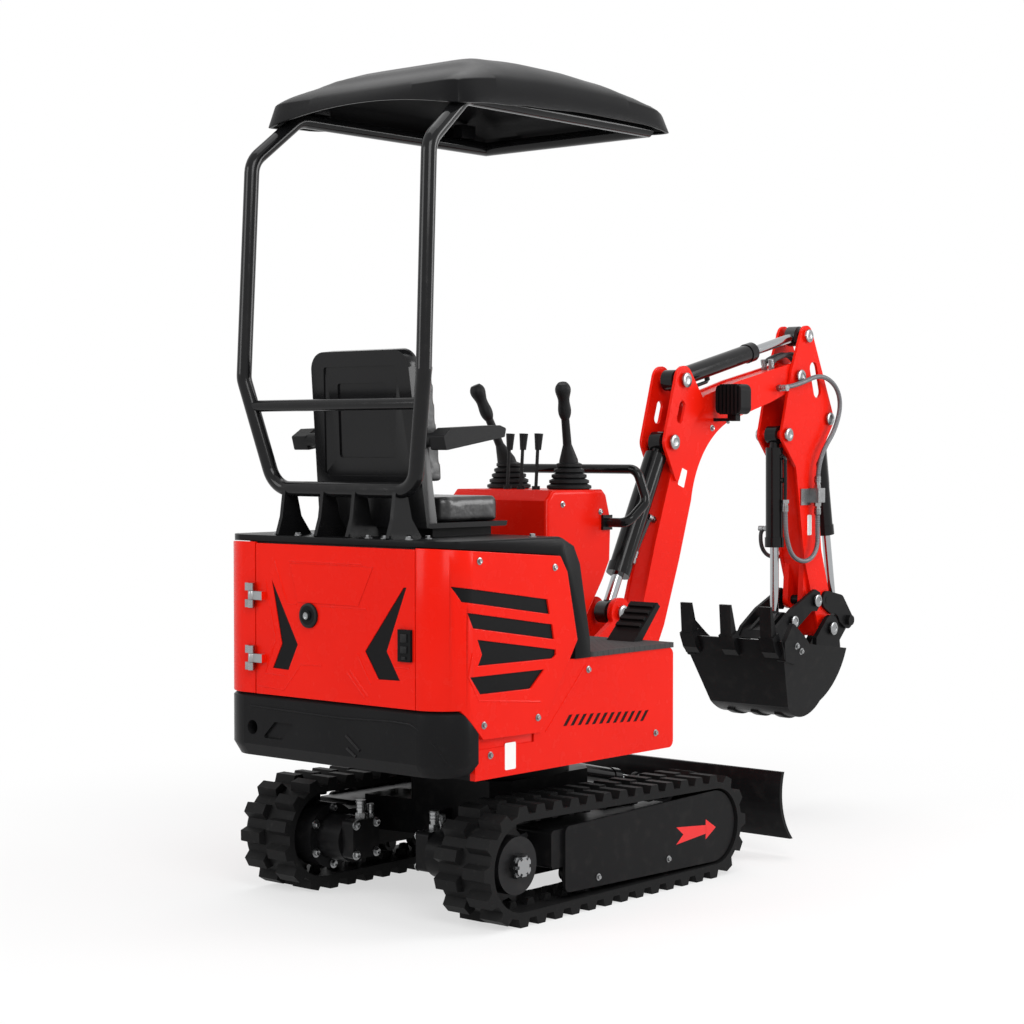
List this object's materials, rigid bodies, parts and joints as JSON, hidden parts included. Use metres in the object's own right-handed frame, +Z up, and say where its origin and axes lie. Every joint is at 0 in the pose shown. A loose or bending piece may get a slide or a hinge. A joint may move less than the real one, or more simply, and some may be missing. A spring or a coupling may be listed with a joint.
{
  "type": "mini excavator",
  "caption": "Tracked mini excavator with canopy, slewing upper body, dozer blade, knuckle boom, thumb and toothed bucket worked by hydraulic rams.",
  "frame": {"origin": "on the ground plane under the slew axis, midway between the tracks", "axes": "+X forward toward the bucket, +Y to the operator's left, +Z up"},
  "size_m": [2.571, 0.93, 2.343],
  "materials": {
    "red_paint": "glossy red enamel",
    "black_paint": "satin black enamel",
    "cast_weight": "black painted casting",
    "track_rubber": "moulded black rubber",
    "chrome_rod": "hard chrome",
    "bright_steel": "zinc plated steel",
    "black_plastic": "fine grained black plastic",
    "seat_vinyl": "black vinyl",
    "hose_rubber": "braided grey hose"
  },
  "bodies": {
    "undercarriage": {"lower_frame": "black_paint", "slew_ring": "cast_weight", "track_frames": "black_paint", "track_wheels": "cast_weight", "track_left": "track_rubber", "track_right": "track_rubber", "drive_motors": "black_paint"},
    "blade": {"dozer_blade": "black_paint"},
    "blade_barrel": {"blade_barrel": "black_paint"},
    "blade_rod": {"blade_rod": "chrome_rod"},
    "turret": {"turret_frame": "black_paint", "boom_base": "red_paint", "counterweight": "cast_weight", "side_panel_right": "red_paint", "side_panel_left": "red_paint", "skirt_right": "red_paint", "skirt_left": "red_paint", "floor": "black_paint", "floor_mat": "track_rubber", "hood_cover": "black_plastic", "engine": "cast_weight", "door_hinges": "bright_steel", "console": "red_paint", "joysticks": "black_plastic", "levers": "black_plastic", "grab_rail": "black_paint", "pedal": "track_rubber", "seat_base": "black_paint", "seat_shell": "black_plastic", "seat_cushion": "seat_vinyl", "seat_back": "seat_vinyl", "armrests": "black_plastic", "canopy_frame": "black_paint", "canopy": "black_plastic", "panel_vents": "black_plastic"},
    "door": {"rear_door": "red_paint", "door_lock": "black_plastic"},
    "boom": {"boom": "red_paint", "work_light": "black_plastic", "elbow_hoses": "hose_rubber", "hose_boom_ram": "hose_rubber"},
    "boom_barrel": {"boom_barrel": "black_paint"},
    "boom_rod": {"boom_rod": "chrome_rod"},
    "arm": {"arm": "red_paint", "arm_valve": "bright_steel", "hose_arm_thumb": "hose_rubber", "hose_thumb_low": "hose_rubber"},
    "arm_barrel": {"arm_barrel": "black_paint"},
    "arm_rod": {"arm_rod": "chrome_rod"},
    "bucket": {"bucket": "black_paint", "bucket_teeth": "black_paint"},
    "rocker": {"rocker": "black_paint"},
    "link": {"bucket_link": "black_paint"},
    "bucket_barrel": {"bucket_barrel": "black_paint"},
    "bucket_rod": {"bucket_rod": "chrome_rod"},
    "thumb": {"thumb": "black_paint"},
    "thumb_barrel": {"thumb_barrel": "black_paint"},
    "thumb_rod": {"thumb_rod": "chrome_rod"}
  },
  "joints": [
    {"name": "slew", "type": "hinge", "parent": "undercarriage", "child": "turret", "pos_m": [0, 0, 0.36], "axis": [0, 0, 1], "continuous": true},
    {"name": "blade_lift", "type": "hinge", "parent": "undercarriage", "child": "blade", "pos_m": [0.33, 0, 0.19], "axis": [0, -1, 0], "range_deg": [-20, 13]},
    {"name": "blade_ram_swing", "type": "hinge", "parent": "undercarriage", "child": "blade_barrel", "pos_m": [0.262, 0, 0.3], "axis": [0, -1, 0], "range_deg": [-17.86, 12.31]},
    {"name": "blade_ram_stroke", "type": "slide", "parent": "blade_barrel", "child": "blade_rod", "axis": [0.9773, 0, -0.212], "range_m": [-0.026, 0.0368]},
    {"name": "door_swing", "type": "hinge", "parent": "turret", "child": "door", "pos_m": [-0.717, 0.283, 0.8], "axis": [0, 0, -1], "range_deg": [0, 110]},
    {"name": "boom_lift", "type": "hinge", "parent": "turret", "child": "boom", "pos_m": [0.64, 0, 0.6], "axis": [0, -1, 0], "range_deg": [-62, 6], "deforming": ["hose_boom_ram"]},
    {"name": "boom_ram_swing", "type": "hinge", "parent": "boom", "child": "boom_barrel", "pos_m": [0.783, 0, 1.286], "axis": [0, -1, 0], "range_deg": [-2.1, 3.03]},
    {"name": "boom_ram_stroke", "type": "slide", "parent": "boom_barrel", "child": "boom_rod", "axis": [-0.4666, 0, -0.8845], "range_m": [-0.0268, 0.2214]},
    {"name": "arm_crowd", "type": "hinge", "parent": "boom", "child": "arm", "pos_m": [1.51, 0, 1.51], "axis": [0, 1, 0], "range_deg": [-85, 18], "deforming": ["elbow_hoses"]},
    {"name": "arm_ram_swing", "type": "hinge", "parent": "boom", "child": "arm_barrel", "pos_m": [0.847, 0, 1.484], "axis": [0, -1, 0], "range_deg": [-2.49, 2.1]},
    {"name": "arm_ram_stroke", "type": "slide", "parent": "arm_barrel", "child": "arm_rod", "axis": [0.9732, 0, 0.23], "range_m": [-0.2007, 0.0472]},
    {"name": "bucket_curl", "type": "hinge", "parent": "arm", "child": "bucket", "pos_m": [1.677, 0, 0.637], "axis": [0, 1, 0], "range_deg": [-120, 4]},
    {"name": "rocker_swing", "type": "hinge", "parent": "arm", "child": "rocker", "pos_m": [1.68, 0, 0.735], "axis": [0, -1, 0], "range_deg": [-4.74, 84.26]},
    {"name": "link_swing", "type": "hinge", "parent": "bucket", "child": "link", "pos_m": [1.7, 0, 0.544], "axis": [0, -1, 0], "range_deg": [-82.81, 4.69]},
    {"name": "bucket_ram_swing", "type": "hinge", "parent": "arm", "child": "bucket_barrel", "pos_m": [1.695, 0, 1.368], "axis": [0, -1, 0], "range_deg": [-2.06, 3.76]},
    {"name": "bucket_ram_stroke", "type": "slide", "parent": "bucket_barrel", "child": "bucket_rod", "axis": [0.1664, 0, -0.9861], "range_m": [-0.2109, 0.0128]},
    {"name": "thumb_open", "type": "hinge", "parent": "arm", "child": "thumb", "pos_m": [1.584, 0, 0.739], "axis": [0, 1, 0], "range_deg": [0, 64], "deforming": ["hose_arm_thumb", "hose_thumb_low"]},
    {"name": "thumb_ram_swing", "type": "hinge", "parent": "arm", "child": "thumb_barrel", "pos_m": [1.436, 0, 1.312], "axis": [0, -1, 0], "range_deg": [-2, 2.92]},
    {"name": "thumb_ram_stroke", "type": "slide", "parent": "thumb_barrel", "child": "thumb_rod", "axis": [0.0063, 0, -1], "range_m": [-0.1727, 0.006]}
  ],
  "couplings": [
    {"joint": "blade_ram_swing", "follows": "blade_lift", "ratio": 0.79319},
    {"joint": "blade_ram_stroke", "follows": "blade_lift", "m_per_rad": -0.088182},
    {"joint": "boom_ram_swing", "follows": "boom_lift", "ratio": -0.016657},
    {"joint": "boom_ram_stroke", "follows": "boom_lift", "m_per_rad": -0.19901},
    {"joint": "arm_ram_swing", "follows": "arm_crowd", "ratio": 0.005816},
    {"joint": "arm_ram_stroke", "follows": "arm_crowd", "m_per_rad": 0.13125},
    {"joint": "rocker_swing", "follows": "bucket_curl", "ratio": -0.68553},
    {"joint": "link_swing", "follows": "bucket_curl", "ratio": 0.67345},
    {"joint": "bucket_ram_swing", "follows": "bucket_curl", "ratio": -0.014632},
    {"joint": "bucket_ram_stroke", "follows": "bucket_curl", "m_per_rad": 0.097816},
    {"joint": "thumb_ram_swing", "follows": "thumb_open", "ratio": 0.014432},
    {"joint": "thumb_ram_stroke", "follows": "thumb_open", "m_per_rad": -0.14927}
  ]
}
